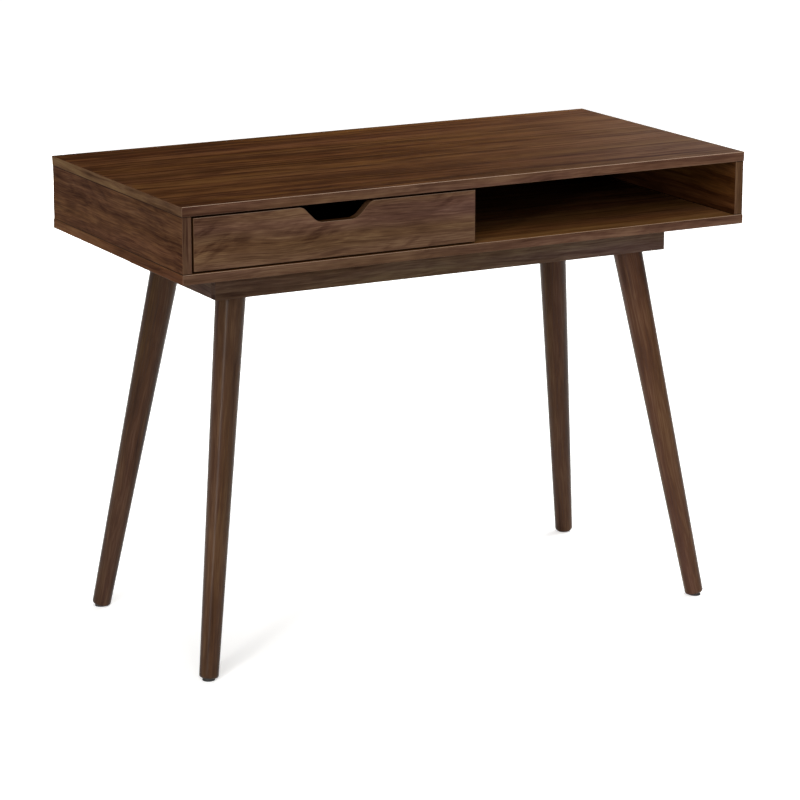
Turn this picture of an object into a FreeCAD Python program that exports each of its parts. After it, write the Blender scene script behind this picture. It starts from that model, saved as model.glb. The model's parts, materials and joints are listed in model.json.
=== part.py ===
import FreeCAD, Part
import math
import os

# A writing desk: a flat case of veneered boards with a drawer on the left and an open cubby on the right,
# carried by a rail underframe and four round, tapered legs that splay both ways.
# Millimetres. +X runs to the right, the front faces -Y, and the origin is on the floor in the middle.

# Overall size
DESK_WIDTH = 1000.0
DESK_DEPTH = 500.0
DESK_HEIGHT = 755.0

# Case boards
BOARD_THICKNESS = 15.0
ARRIS_RADIUS = 0.6
OPENING_HEIGHT = 88.0
CUBBY_WIDTH = 485.5
SIDE_REVEAL = 0.5
EDGE_REVEAL = 1.0

# Wooden dowels between the top panel and the upright boards
DOWEL_DIAMETER = 8.0
DOWEL_LENGTH = 30.0
DOWEL_FACE_DEPTH = 9.0
DOWEL_CHAMFER = 1.0
UPRIGHT_FIXING_SHARES = (0.12, 0.5, 0.88)
BACK_FIXING_SHARES = (0.12, 0.38, 0.62, 0.88)

# Countersunk screws driven up through the bottom panel
CARCASS_SCREW_DIAMETER = 5.0
CARCASS_SCREW_LENGTH = 45.0
CARCASS_SCREW_HEAD = 10.0

# Underframe rails, their dowels and glue blocks
RAIL_HEIGHT = 50.0
RAIL_THICKNESS = 15.0
FRAME_END_INSET = 93.5
FRAME_SIDE_INSET = 87.5
RAIL_DOWEL_DIAMETER = 6.0
RAIL_DOWEL_LENGTH = 26.0
RAIL_DOWEL_FACE_DEPTH = 9.0
RAIL_DOWEL_SHARES = (0.3, 0.7)
GLUE_BLOCK_SIDE = 16.0
GLUE_BLOCK_MARGIN = 7.0

# Steel angle brackets that hold the rails to the bottom panel
BRACKET_LEG = 20.0
BRACKET_WIDTH = 16.0
BRACKET_SHEET = 2.0
LONG_RAIL_BRACKET_SHARES = (0.22, 0.5, 0.78)
END_RAIL_BRACKET_SHARES = (0.5,)

# Pan head screws of the brackets and leg plates
PAN_SCREW_DIAMETER = 4.0
PAN_SCREW_LENGTH = 12.0
PAN_SCREW_HEAD = 7.5
PAN_SCREW_HEAD_HEIGHT = 2.4

# Legs
LEG_HEAD_DIAMETER = 49.0
LEG_FOOT_DIAMETER = 30.5
LEG_FOOT_ROUND = 5.0
LEG_SPLAY_SIDEWAYS_DEGREES = 8.67
LEG_SPLAY_ENDWAYS_DEGREES = 8.75
LEG_GAP_TO_END_RAIL = 6.0
LEG_GAP_TO_LONG_RAIL = 2.3

# Angled leg plates and hanger bolts
PLATE_SIZE = 56.0
PLATE_THICKNESS = 2.5
PLATE_CORNER_RADIUS = 8.0
PLATE_BOSS_DIAMETER = 38.0
PLATE_SEAT_DROP = 12.0
PLATE_SCREW_EDGE = 7.0
BOLT_DIAMETER = 8.0
BOLT_PLATE_LENGTH = 10.0
BOLT_LEG_LENGTH = 34.0
BOLT_CHAMFER = 1.5

# Foot pads
PAD_DIAMETER = 20.0
PAD_LEAST_THICKNESS = 0.6
PAD_STEM_DIAMETER = 5.0
PAD_STEM_LENGTH = 12.0

# Drawer front and its finger cut-out
FRONT_GAP = 3.5
STOP_GAP = 0.5
PULL_WIDTH = 117.0
PULL_DEPTH = 25.5
PULL_SLANT_DEGREES = 45.0
PULL_LOWER_RADIUS = 26.0
PULL_UPPER_RADIUS = 12.0

# Drawer box
DRAWER_BOARD_THICKNESS = 12.0
DRAWER_SIDE_HEIGHT = 62.0
DRAWER_BOTTOM_THICKNESS = 3.0
DRAWER_BOTTOM_RISE = 5.0
GROOVE_DEPTH = 6.0
DRAWER_DOWEL_DIAMETER = 6.0
DRAWER_DOWEL_LENGTH = 24.0
DRAWER_DOWEL_FACE_DEPTH = 9.0
DRAWER_DOWEL_SHARES = (0.34, 0.88)
DRAWER_BACK_SCREW_DIAMETER = 4.0
DRAWER_BACK_SCREW_LENGTH = 35.0
DRAWER_BACK_SCREW_HEAD = 8.0
DRAWER_BACK_SCREW_SHARES = (0.5, 0.85)

# Cam fittings between the drawer front and the drawer sides
CAM_DIAMETER = 12.0
CAM_LENGTH = 9.5
CAM_SETBACK = 24.0
CAM_HEIGHT_SHARE = 0.63
CAM_SLOT_DEPTH = 2.0
CAM_BOLT_DIAMETER = 5.0
CAM_BOLT_HEAD = 6.0
CAM_BOLT_NECK = 3.5
CAM_BOLT_NECK_LENGTH = 4.0
CAM_BOLT_FACE_DEPTH = 10.0

# Roller runners
RUNNER_LENGTH = 350.0
RUNNER_SHEET = 1.2
RUNNER_LIFT = 6.0
RUNNER_SETBACK = 2.0
RUNNER_LIP = 3.0
RUNNER_FLANGE_CLEARANCE = 0.8
ROLLER_DIAMETER = 16.0
ROLLER_WIDTH = 5.5
ROLLER_END_DISTANCE = 12.0
ROLLER_EDGE_ROUND = 0.8
PIN_DIAMETER = 5.0
PIN_COLLAR_DIAMETER = 8.0
PIN_HEAD_THICKNESS = 0.8
CABINET_PIN_COLLAR = 0.8
DRAWER_PIN_COLLAR = 2.3
RUNNER_SCREW_DIAMETER = 3.5
RUNNER_SCREW_LENGTH = 10.0
RUNNER_SCREW_HEAD = 6.5
RUNNER_SCREW_HEAD_HEIGHT = 0.8
DRAWER_RUNNER_SCREW_RISE = 4.5
RUNNER_SCREW_SHARES = (0.3, 0.58, 0.87)

# Fits and cuts
SNUG_CLEARANCE = 0.1
ROLLER_CLEARANCE = 0.05
RUNNING_GAP = 0.3
SIDE_PLAY = 0.2
CUT_OVERRUN = 5.0
CROSS_WIDTH_SHARE = 0.14
CROSS_SPAN_SHARE = 0.6
CROSS_DEPTH_SHARE = 0.6
FULL_TURN_DEGREES = 360.0

# Levels
TOP_UNDERSIDE = DESK_HEIGHT - BOARD_THICKNESS
CASE_FLOOR = TOP_UNDERSIDE - OPENING_HEIGHT
CASE_UNDERSIDE = CASE_FLOOR - BOARD_THICKNESS
RAIL_UNDERSIDE = CASE_UNDERSIDE - RAIL_HEIGHT

# Planes of the case boards
SIDE_OUTER = DESK_WIDTH / 2 - SIDE_REVEAL
SIDE_INNER = SIDE_OUTER - BOARD_THICKNESS
FRONT_PLANE = EDGE_REVEAL - DESK_DEPTH / 2
REAR_PLANE = DESK_DEPTH / 2 - EDGE_REVEAL
BACK_INNER = REAR_PLANE - BOARD_THICKNESS
DIVIDER_RIGHT = SIDE_INNER - CUBBY_WIDTH
DIVIDER_LEFT = DIVIDER_RIGHT - BOARD_THICKNESS
FRONT_BACK_FACE = FRONT_PLANE + BOARD_THICKNESS
DIVIDER_FRONT = FRONT_BACK_FACE + STOP_GAP

# Planes of the underframe
FRAME_END = DESK_WIDTH / 2 - FRAME_END_INSET
FRAME_SIDE = DESK_DEPTH / 2 - FRAME_SIDE_INSET
FRAME_END_INNER = FRAME_END - RAIL_THICKNESS
FRAME_SIDE_INNER = FRAME_SIDE - RAIL_THICKNESS

# The stack of runner parts across the gap beside the drawer box, measured from the case wall
CABINET_ROLLER_NEAR = RUNNER_SHEET + CABINET_PIN_COLLAR + SIDE_PLAY
DRAWER_PIN_END = RUNNER_SHEET + RUNNER_SCREW_HEAD_HEIGHT + RUNNING_GAP
DRAWER_ROLLER_NEAR = DRAWER_PIN_END + PIN_HEAD_THICKNESS + SIDE_PLAY
DRAWER_WEB_NEAR = DRAWER_ROLLER_NEAR + ROLLER_WIDTH + SIDE_PLAY + DRAWER_PIN_COLLAR
RUNNER_SPACE = DRAWER_WEB_NEAR + RUNNER_SHEET
CHANNEL_WIDTH = DRAWER_WEB_NEAR - RUNNER_FLANGE_CLEARANCE

# Levels and ends of the runners and the drawer box
RUNNER_UNDERSIDE = CASE_FLOOR + RUNNER_LIFT
ROLLER_LEVEL = RUNNER_UNDERSIDE + RUNNER_SHEET + RUNNING_GAP + ROLLER_DIAMETER / 2
DRAWER_FLANGE_TOP = ROLLER_LEVEL + ROLLER_DIAMETER / 2 + RUNNING_GAP + RUNNER_SHEET
CHANNEL_TOP = DRAWER_FLANGE_TOP + RUNNING_GAP + RUNNER_SHEET
RUNNER_FRONT = FRONT_BACK_FACE + RUNNER_SETBACK
RUNNER_REAR = RUNNER_FRONT + RUNNER_LENGTH
DRAWER_SIDE_BOTTOM = RUNNER_UNDERSIDE + RUNNER_SHEET
DRAWER_SIDE_TOP = DRAWER_SIDE_BOTTOM + DRAWER_SIDE_HEIGHT
DRAWER_LEFT = RUNNER_SPACE - SIDE_INNER
DRAWER_RIGHT = DIVIDER_LEFT - RUNNER_SPACE
DRAWER_BOTTOM_LEVEL = DRAWER_SIDE_BOTTOM + DRAWER_BOTTOM_RISE

UP = FreeCAD.Vector(0, 0, 1)
DOWN = FreeCAD.Vector(0, 0, -1)
RIGHT = FreeCAD.Vector(1, 0, 0)
BACK = FreeCAD.Vector(0, 1, 0)
ORIGIN = FreeCAD.Vector(0, 0, 0)


def at(x, y, z):
    return FreeCAD.Vector(x, y, z)


def span(low, high, share):
    """The place at a share of the way from low to high."""
    return low + (high - low) * share


def block(low, high):
    """A square-edged block between two opposite corners."""
    size = high - low
    return Part.makeBox(size.x, size.y, size.z, low)


def board(across, along, upright):
    """A block with all its edges eased, between the limits given for X, Y and Z."""
    low, high = zip(across, along, upright)
    solid = block(at(*low), at(*high))
    return solid.makeFillet(ARRIS_RADIUS, solid.Edges)


def rod(start, end, radius):
    axis = end - start
    return Part.makeCylinder(radius, axis.Length, start, axis)


def placed(shape, point, direction):
    """A copy of a shape made along +Z from the origin, set at a point and turned to a direction."""
    copy = shape.copy()
    copy.Placement = FreeCAD.Placement(point, FreeCAD.Rotation(UP, direction))
    return copy


def rounded_outline(corners):
    """A closed wire through (corner, radius) pairs, with a tangent arc at each corner that has a radius."""
    arrivals, departures, arcs = [], [], []
    for index, (corner, radius) in enumerate(corners):
        before = (corners[index - 1][0] - corner).normalize()
        after = (corners[(index + 1) % len(corners)][0] - corner).normalize()
        half_angle = before.getAngle(after) / 2
        reach = radius / math.tan(half_angle)
        arrivals.append(corner + before * reach)
        departures.append(corner + after * reach)
        if radius:
            inward = (before + after).normalize()
            middle = corner + inward * (radius / math.sin(half_angle) - radius)
            arcs.append(Part.Arc(arrivals[-1], middle, departures[-1]).toShape())
    next_arrivals = arrivals[1:] + arrivals[:1]
    lines = [Part.makeLine(start, end) for start, end in zip(departures, next_arrivals)]
    return Part.Wire(Part.sortEdges(lines + arcs)[0])


def turned(corners):
    """A solid turned about +Z from (radius, height, rounding) corners that start and end on the axis."""
    outline = rounded_outline([(at(radius, 0, height), rounding) for radius, height, rounding in corners])
    return Part.Face(outline).revolve(ORIGIN, UP, FULL_TURN_DEGREES)


def cross_recess(head, depth):
    """The cross-shaped driver recess of a head, cut in from the origin along +Z."""
    half_span = head * CROSS_SPAN_SHARE / 2
    half_width = head * CROSS_WIDTH_SHARE / 2
    along = block(at(-half_span, -half_width, -depth), at(half_span, half_width, depth))
    across = block(at(-half_width, -half_span, -depth), at(half_width, half_span, depth))
    return along.fuse(across)


def countersunk_screw(diameter, length, head):
    """A screw whose flat head face lies at the origin and whose tip points along +Z."""
    shank = diameter / 2
    rim = head / 2
    taper = rim - shank
    corners = [(0, 0, 0), (rim, 0, 0), (shank, taper, 0), (shank, length - diameter, 0), (0, length, 0)]
    return turned(corners).cut(cross_recess(head, taper * CROSS_DEPTH_SHARE))


def countersunk_hole(diameter, length, head):
    """The hole for a countersunk screw, open past the face that the head lies in."""
    shank = diameter / 2 + SNUG_CLEARANCE
    rim = head / 2 + SNUG_CLEARANCE
    taper = rim - shank
    depth = length + SNUG_CLEARANCE
    mouth = [(0, -CUT_OVERRUN, 0), (rim, -CUT_OVERRUN, 0), (rim, 0, 0)]
    return turned(mouth + [(shank, taper, 0), (shank, depth, 0), (0, depth, 0)])


def headed_screw(diameter, length, head, head_height):
    """A screw with a low head that bears on the plane at the origin, its tip along +Z."""
    shank = diameter / 2
    rim = head / 2
    easing = head_height / 2
    corners = [(0, -head_height, 0), (rim, -head_height, easing), (rim, 0, 0), (shank, 0, 0)]
    solid = turned(corners + [(shank, length - diameter, 0), (0, length, 0)])
    recess = cross_recess(head, head_height * CROSS_DEPTH_SHARE)
    return solid.cut(placed(recess, DOWN * head_height, UP))


def straight_hole(diameter, length):
    """The hole for a shank or dowel, from just outside the face at the origin along +Z."""
    return rod(DOWN * CUT_OVERRUN, UP * (length + SNUG_CLEARANCE), diameter / 2 + SNUG_CLEARANCE)


def dowel(diameter, length):
    """A wooden dowel along +Z from the origin, with chamfered ends."""
    solid = Part.makeCylinder(diameter / 2, length)
    rims = [edge for edge in solid.Edges if edge.Closed]
    return solid.makeChamfer(DOWEL_CHAMFER, rims)


def dowel_hole(diameter, length):
    """The hole that a dowel along +Z from the origin leaves in both boards."""
    return rod(DOWN * SNUG_CLEARANCE, UP * (length + SNUG_CLEARANCE), diameter / 2 + SNUG_CLEARANCE)


def group(solids):
    return Part.makeCompound(solids)


# Case

def case_fixing_points():
    """Plan positions of the fixings along the middle of each upright board, by board name."""
    side_middle = (SIDE_INNER + SIDE_OUTER) / 2
    divider_middle = (DIVIDER_LEFT + DIVIDER_RIGHT) / 2
    back_middle = (BACK_INNER + REAR_PLANE) / 2
    side_places = [span(FRONT_PLANE, REAR_PLANE, share) for share in UPRIGHT_FIXING_SHARES]
    divider_places = [span(DIVIDER_FRONT, BACK_INNER, share) for share in UPRIGHT_FIXING_SHARES]
    back_places = [span(-SIDE_INNER, SIDE_INNER, share) for share in BACK_FIXING_SHARES]
    return {
        "left_side_panel": [(-side_middle, y) for y in side_places],
        "right_side_panel": [(side_middle, y) for y in side_places],
        "centre_divider": [(divider_middle, y) for y in divider_places],
        "back_panel": [(x, back_middle) for x in back_places],
    }


def case_nodes():
    """The six boards of the case with their dowels and screws."""
    dowel_start = TOP_UNDERSIDE + DOWEL_FACE_DEPTH
    peg = dowel(DOWEL_DIAMETER, DOWEL_LENGTH)
    peg_hole = dowel_hole(DOWEL_DIAMETER, DOWEL_LENGTH)
    screw_sizes = (CARCASS_SCREW_DIAMETER, CARCASS_SCREW_LENGTH, CARCASS_SCREW_HEAD)
    screw = countersunk_screw(*screw_sizes)
    screw_hole = countersunk_hole(*screw_sizes)
    full_width = (-DESK_WIDTH / 2, DESK_WIDTH / 2)
    full_depth = (-DESK_DEPTH / 2, DESK_DEPTH / 2)
    side_depth = (FRONT_PLANE, REAR_PLANE)
    upright = (CASE_FLOOR, TOP_UNDERSIDE)
    nodes = {
        "top_panel": board(full_width, full_depth, (TOP_UNDERSIDE, DESK_HEIGHT)),
        "bottom_panel": board(full_width, full_depth, (CASE_UNDERSIDE, CASE_FLOOR)),
        "left_side_panel": board((-SIDE_OUTER, -SIDE_INNER), side_depth, upright),
        "right_side_panel": board((SIDE_INNER, SIDE_OUTER), side_depth, upright),
        "back_panel": board((-SIDE_INNER, SIDE_INNER), (BACK_INNER, REAR_PLANE), upright),
        "centre_divider": board((DIVIDER_LEFT, DIVIDER_RIGHT), (DIVIDER_FRONT, BACK_INNER), upright),
    }
    dowels, screws = [], []
    for name, places in case_fixing_points().items():
        dowel_holes = [placed(peg_hole, at(x, y, dowel_start), DOWN) for x, y in places]
        screw_holes = [placed(screw_hole, at(x, y, CASE_UNDERSIDE), UP) for x, y in places]
        nodes[name] = nodes[name].cut(dowel_holes + screw_holes)
        nodes["top_panel"] = nodes["top_panel"].cut(dowel_holes)
        nodes["bottom_panel"] = nodes["bottom_panel"].cut(screw_holes)
        dowels += [placed(peg, at(x, y, dowel_start), DOWN) for x, y in places]
        screws += [placed(screw, at(x, y, CASE_UNDERSIDE), UP) for x, y in places]
    nodes["carcass_dowels"] = group(dowels)
    nodes["carcass_screws"] = group(screws)
    return nodes


# Underframe

def bracket(point, outward):
    """An angle bracket below the bottom panel, its upright leg against a rail that faces outward."""
    across = UP.cross(outward)
    half_width = across * (BRACKET_WIDTH / 2)
    corner = point - half_width
    profile = [
        corner,
        corner - outward * BRACKET_LEG,
        corner - outward * BRACKET_LEG + DOWN * BRACKET_SHEET,
        corner - outward * BRACKET_SHEET + DOWN * BRACKET_SHEET,
        corner - outward * BRACKET_SHEET + DOWN * BRACKET_LEG,
        corner + DOWN * BRACKET_LEG,
        corner,
    ]
    return Part.Face(Part.makePolygon(profile)).extrude(across * BRACKET_WIDTH)


def underframe_nodes(nodes):
    """The four rails with their dowels, glue blocks, brackets and bracket screws."""
    upright = (RAIL_UNDERSIDE, CASE_UNDERSIDE)
    full_length = (-FRAME_END, FRAME_END)
    between_rails = (-FRAME_SIDE_INNER, FRAME_SIDE_INNER)
    nodes["front_rail"] = board(full_length, (-FRAME_SIDE, -FRAME_SIDE_INNER), upright)
    nodes["rear_rail"] = board(full_length, (FRAME_SIDE_INNER, FRAME_SIDE), upright)
    nodes["left_rail"] = board((-FRAME_END, -FRAME_END_INNER), between_rails, upright)
    nodes["right_rail"] = board((FRAME_END_INNER, FRAME_END), between_rails, upright)

    peg = dowel(RAIL_DOWEL_DIAMETER, RAIL_DOWEL_LENGTH)
    peg_hole = dowel_hole(RAIL_DOWEL_DIAMETER, RAIL_DOWEL_LENGTH)
    end_middle = FRAME_END - RAIL_THICKNESS / 2
    pegs = []
    for side, side_name in ((-1, "front"), (1, "rear")):
        for end, end_name in ((-1, "left"), (1, "right")):
            long_rail = side_name + "_rail"
            end_rail = end_name + "_rail"
            inward = BACK * -side
            start = side * (FRAME_SIDE_INNER + RAIL_DOWEL_FACE_DEPTH)
            levels = [span(*upright, share) for share in RAIL_DOWEL_SHARES]
            holes = [placed(peg_hole, at(end * end_middle, start, level), inward) for level in levels]
            nodes[long_rail] = nodes[long_rail].cut(holes)
            nodes[end_rail] = nodes[end_rail].cut(holes)
            pegs += [placed(peg, at(end * end_middle, start, level), inward) for level in levels]

            corner = at(end * FRAME_END_INNER, side * FRAME_SIDE_INNER, RAIL_UNDERSIDE + GLUE_BLOCK_MARGIN)
            on_long_rail = corner - RIGHT * end * GLUE_BLOCK_SIDE
            on_end_rail = corner - BACK * side * GLUE_BLOCK_SIDE
            triangle = Part.Face(Part.makePolygon([corner, on_long_rail, on_end_rail, corner]))
            block_height = RAIL_HEIGHT - 2 * GLUE_BLOCK_MARGIN
            nodes[side_name + "_" + end_name + "_glue_block"] = triangle.extrude(UP * block_height)
    nodes["frame_dowels"] = group(pegs)

    spots = []
    for share in LONG_RAIL_BRACKET_SHARES:
        x = span(-FRAME_END, FRAME_END, share)
        spots.append(("front_rail", at(x, -FRAME_SIDE_INNER, CASE_UNDERSIDE), -BACK))
        spots.append(("rear_rail", at(x, FRAME_SIDE_INNER, CASE_UNDERSIDE), BACK))
    for share in END_RAIL_BRACKET_SHARES:
        y = span(-FRAME_SIDE, FRAME_SIDE, share)
        spots.append(("left_rail", at(-FRAME_END_INNER, y, CASE_UNDERSIDE), -RIGHT))
        spots.append(("right_rail", at(FRAME_END_INNER, y, CASE_UNDERSIDE), RIGHT))
    screw = headed_screw(PAN_SCREW_DIAMETER, PAN_SCREW_LENGTH, PAN_SCREW_HEAD, PAN_SCREW_HEAD_HEIGHT)
    hole = straight_hole(PAN_SCREW_DIAMETER, PAN_SCREW_LENGTH)
    reach = (BRACKET_LEG + BRACKET_SHEET) / 2
    brackets, screws = [], []
    for rail, corner, outward in spots:
        up_seat = corner - outward * reach + DOWN * BRACKET_SHEET
        out_seat = corner - outward * BRACKET_SHEET + DOWN * reach
        up_hole = placed(hole, up_seat, UP)
        out_hole = placed(hole, out_seat, outward)
        brackets.append(bracket(corner, outward).cut([up_hole, out_hole]))
        nodes["bottom_panel"] = nodes["bottom_panel"].cut(up_hole)
        nodes[rail] = nodes[rail].cut(out_hole)
        screws += [placed(screw, up_seat, UP), placed(screw, out_seat, outward)]
    nodes["frame_brackets"] = group(brackets)
    nodes["frame_bracket_screws"] = group(screws)


# Legs

def leg_line(end, side):
    """Where a leg's axis meets the underside of the case, and the axis direction towards the floor."""
    lean_x = math.tan(math.radians(LEG_SPLAY_SIDEWAYS_DEGREES))
    lean_y = math.tan(math.radians(LEG_SPLAY_ENDWAYS_DEGREES))
    half_x = LEG_HEAD_DIAMETER / 2 * math.hypot(1, lean_x)
    half_y = LEG_HEAD_DIAMETER / 2 * math.hypot(1, lean_y)
    top_x = FRAME_END_INNER - LEG_GAP_TO_END_RAIL - half_x - RAIL_HEIGHT * lean_x
    top_y = FRAME_SIDE_INNER - LEG_GAP_TO_LONG_RAIL - half_y - RAIL_HEIGHT * lean_y
    top = at(end * top_x, side * top_y, CASE_UNDERSIDE)
    return top, at(end * lean_x, side * lean_y, -1).normalize()


def leg_plate(top, direction, screw_holes):
    """A steel plate under the case with a slanted boss that the leg seats on."""
    half = PLATE_SIZE / 2
    flange = block(top - at(half, half, PLATE_THICKNESS), top + at(half, half, 0))
    uprights = [edge for edge in flange.Edges if edge.BoundBox.DiagonalLength < 2 * PLATE_THICKNESS]
    flange = flange.makeFillet(PLATE_CORNER_RADIUS, uprights)
    seat = top + direction * PLATE_SEAT_DROP
    boss = rod(seat, top - direction * PLATE_BOSS_DIAMETER, PLATE_BOSS_DIAMETER / 2)
    above = PLATE_BOSS_DIAMETER * 2
    boss = boss.cut(block(top - at(above, above, 0), top + at(above, above, above)))
    bore_end = top - direction * PLATE_SIZE
    bore = rod(seat + direction * CUT_OVERRUN, bore_end, BOLT_DIAMETER / 2 + SNUG_CLEARANCE)
    return flange.fuse(boss).removeSplitter().cut([bore] + screw_holes)


def leg(length):
    """A tapered leg along +Z from its head at the origin, bored for the hanger bolt and the pad stem."""
    head = LEG_HEAD_DIAMETER / 2
    foot = LEG_FOOT_DIAMETER / 2
    blank = turned([(0, 0, 0), (head, 0, ARRIS_RADIUS), (foot, length, LEG_FOOT_ROUND), (0, length, 0)])
    bolt_hole = straight_hole(BOLT_DIAMETER, BOLT_LEG_LENGTH)
    stem_hole = placed(straight_hole(PAD_STEM_DIAMETER, PAD_STEM_LENGTH), UP * length, DOWN)
    return blank.cut([bolt_hole, stem_hole])


def foot_pad(floor_point, sole, direction):
    """A dark pad on the end of a leg, cut level with the floor, with a stem pressed into the leg."""
    radius = PAD_DIAMETER / 2
    beyond = PAD_DIAMETER
    disc = rod(sole, sole + direction * beyond, radius)
    below = block(floor_point - at(beyond, beyond, beyond), floor_point + at(beyond, beyond, 0))
    stem = rod(sole, sole - direction * PAD_STEM_LENGTH, PAD_STEM_DIAMETER / 2)
    return disc.cut(below).fuse(stem).removeSplitter()


def leg_nodes(nodes):
    """The four legs with their plates, hanger bolts, plate screws and foot pads."""
    screw = headed_screw(PAN_SCREW_DIAMETER, PAN_SCREW_LENGTH, PAN_SCREW_HEAD, PAN_SCREW_HEAD_HEIGHT)
    screw_hole = straight_hole(PAN_SCREW_DIAMETER, PAN_SCREW_LENGTH)
    bolt_length = BOLT_PLATE_LENGTH + BOLT_LEG_LENGTH
    bolt = Part.makeCylinder(BOLT_DIAMETER / 2, bolt_length)
    bolt = bolt.makeChamfer(BOLT_CHAMFER, [edge for edge in bolt.Edges if edge.Closed])
    screw_reach = PLATE_SIZE / 2 - PLATE_SCREW_EDGE
    bolts, screws = [], []
    for side, side_name in ((-1, "front"), (1, "rear")):
        for end, end_name in ((-1, "left"), (1, "right")):
            name = side_name + "_" + end_name
            top, direction = leg_line(end, side)
            seat = top + direction * PLATE_SEAT_DROP
            floor_point = top + direction * (top.z / -direction.z)
            lean = math.hypot(direction.x, direction.y) / -direction.z
            sole = floor_point - direction * (PAD_LEAST_THICKNESS + PAD_DIAMETER / 2 * lean)
            screw_seat = top + DOWN * PLATE_THICKNESS
            places = [
                screw_seat + at(x_sign * screw_reach, y_sign * screw_reach, 0)
                for x_sign in (-1, 1)
                for y_sign in (-1, 1)
            ]
            holes = [placed(screw_hole, place, UP) for place in places]
            nodes[name + "_leg_plate"] = leg_plate(top, direction, holes)
            nodes[name + "_leg"] = placed(leg((sole - seat).Length), seat, direction)
            nodes[name + "_foot_pad"] = foot_pad(floor_point, sole, direction)
            nodes["bottom_panel"] = nodes["bottom_panel"].cut(holes)
            bolts.append(placed(bolt, seat - direction * BOLT_PLATE_LENGTH, direction))
            screws += [placed(screw, place, UP) for place in places]
    nodes["hanger_bolts"] = group(bolts)
    nodes["leg_plate_screws"] = group(screws)


# Drawer

def drawer_front_board():
    """The drawer front with the finger cut-out in the middle of its top edge."""
    left = FRONT_GAP - SIDE_INNER
    right = DIVIDER_RIGHT
    bottom = CASE_FLOOR + FRONT_GAP
    top = TOP_UNDERSIDE - FRONT_GAP
    middle = (left + right) / 2
    half_top = PULL_WIDTH / 2
    half_bottom = half_top - PULL_DEPTH / math.tan(math.radians(PULL_SLANT_DEGREES))
    outline = [
        (left, bottom, 0),
        (right, bottom, 0),
        (right, top, 0),
        (middle + half_top, top, PULL_UPPER_RADIUS),
        (middle + half_bottom, top - PULL_DEPTH, PULL_LOWER_RADIUS),
        (middle - half_bottom, top - PULL_DEPTH, PULL_LOWER_RADIUS),
        (middle - half_top, top, PULL_UPPER_RADIUS),
        (left, top, 0),
    ]
    wire = rounded_outline([(at(x, FRONT_PLANE, z), radius) for x, z, radius in outline])
    solid = Part.Face(wire).extrude(BACK * BOARD_THICKNESS)
    face_edges = [edge for edge in solid.Edges if edge.BoundBox.YLength < ARRIS_RADIUS]
    return solid.makeFillet(ARRIS_RADIUS, face_edges)


def cam_bolt():
    """A cam bolt along +Z, threaded into the drawer front below the origin and headed inside the cam."""
    shank = CAM_BOLT_DIAMETER / 2
    neck = CAM_BOLT_NECK / 2
    head = CAM_BOLT_HEAD / 2
    end = CAM_SETBACK + head
    neck_start = CAM_SETBACK - CAM_BOLT_NECK_LENGTH
    corners = [(0, -CAM_BOLT_FACE_DEPTH, 0), (shank, -CAM_BOLT_FACE_DEPTH, 0), (shank, neck_start, 0)]
    corners += [(neck, neck_start, 0), (neck, CAM_SETBACK, 0), (head, CAM_SETBACK, 0)]
    return turned(corners + [(head, end, 0), (0, end, 0)])


def cam_nut():
    """A cam along +Z from its slotted face at the origin; the caller bores it for the bolt."""
    slot = cross_recess(CAM_DIAMETER, CAM_SLOT_DEPTH)
    return Part.makeCylinder(CAM_DIAMETER / 2, CAM_LENGTH).cut(slot)


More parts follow.
